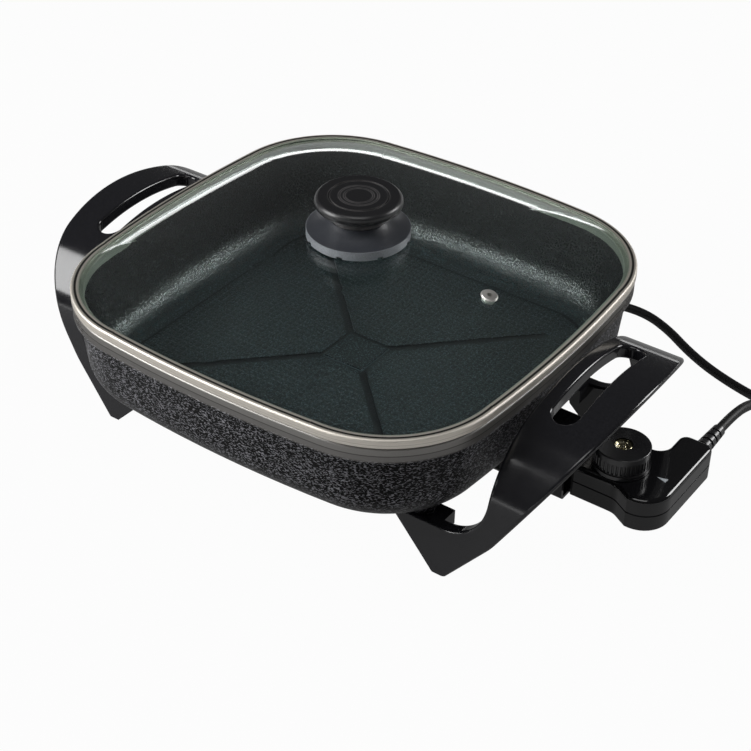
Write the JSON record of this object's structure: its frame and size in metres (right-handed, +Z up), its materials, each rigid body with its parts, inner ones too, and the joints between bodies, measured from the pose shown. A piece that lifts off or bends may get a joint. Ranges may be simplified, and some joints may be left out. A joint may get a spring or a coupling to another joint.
{
  "type": "electric skillet",
  "caption": "Square electric skillet with a domed glass lift-off lid, moulded handles that form its legs, and a plug-in thermostat control with a dial and a mains lead.",
  "frame": {"origin": "on the table, under the centre of the pan", "axes": "+Z up, +X towards the plug-in control, -Y towards the front"},
  "size_m": [0.448, 0.4142, 0.1715],
  "materials": {
    "coated_cast_aluminium": "hammered enamel outside, non-stick inside",
    "black_phenolic": "gloss",
    "satin_black_phenolic": "satin",
    "lid_glass": "clear, polished",
    "polished_steel": "polished",
    "sheath_steel": "dull",
    "screw_steel": "plated",
    "contact_brass": "plain",
    "ceramic": "unglazed",
    "seal_rubber": "matt",
    "amber_lens": "translucent, gloss",
    "lamp_glass": "clear",
    "cord_rubber": "matt",
    "tie_plastic": "matt",
    "plug_plastic": "matt"
  },
  "bodies": {
    "pan": {"pan_body": "coated_cast_aluminium", "heating_element": "sheath_steel", "terminal_pins": "screw_steel", "pin_insulators": "ceramic", "socket_guard": "satin_black_phenolic", "guard_screws": "screw_steel", "right_handle": "black_phenolic", "left_handle": "black_phenolic", "right_handle_screws": "screw_steel", "left_handle_screws": "screw_steel"},
    "lid": {"lid_glass": "lid_glass", "lid_rim": "polished_steel", "knob_skirt": "satin_black_phenolic", "knob_cap": "satin_black_phenolic", "knob_gasket": "seal_rubber", "knob_seal": "seal_rubber", "knob_washer": "screw_steel", "knob_screw": "screw_steel", "vent_grommet": "polished_steel"},
    "control": {"control_upper_housing": "black_phenolic", "control_lower_housing": "black_phenolic", "housing_screws": "screw_steel", "sensor_rod": "sheath_steel", "socket_contacts": "contact_brass", "thermostat_bracket": "sheath_steel", "ceramic_spacers": "ceramic", "contact_leaves": "contact_brass", "lamp_holder": "satin_black_phenolic", "pilot_lamp": "lamp_glass", "pilot_lens": "amber_lens", "strain_relief": "cord_rubber", "cord_lead": "cord_rubber", "cord_coil": "cord_rubber", "cord_tie": "tie_plastic", "cord_tail": "cord_rubber", "plug_body": "plug_plastic", "plug_pins": "contact_brass"},
    "dial": {"dial_knob": "black_phenolic", "dial_retainer": "sheath_steel"}
  },
  "joints": [
    {"name": "lid_lift", "type": "slide", "parent": "pan", "child": "lid", "axis": [0, 0, 1], "range_m": [0, 0.15]},
    {"name": "control_pull", "type": "slide", "parent": "pan", "child": "control", "axis": [1, 0, 0], "range_m": [0, 0.12]},
    {"name": "dial_turn", "type": "hinge", "parent": "control", "child": "dial", "pos_m": [0.196, 0, 0.0549], "axis": [0, 0, -1], "range_deg": [0, 270]}
  ]
}
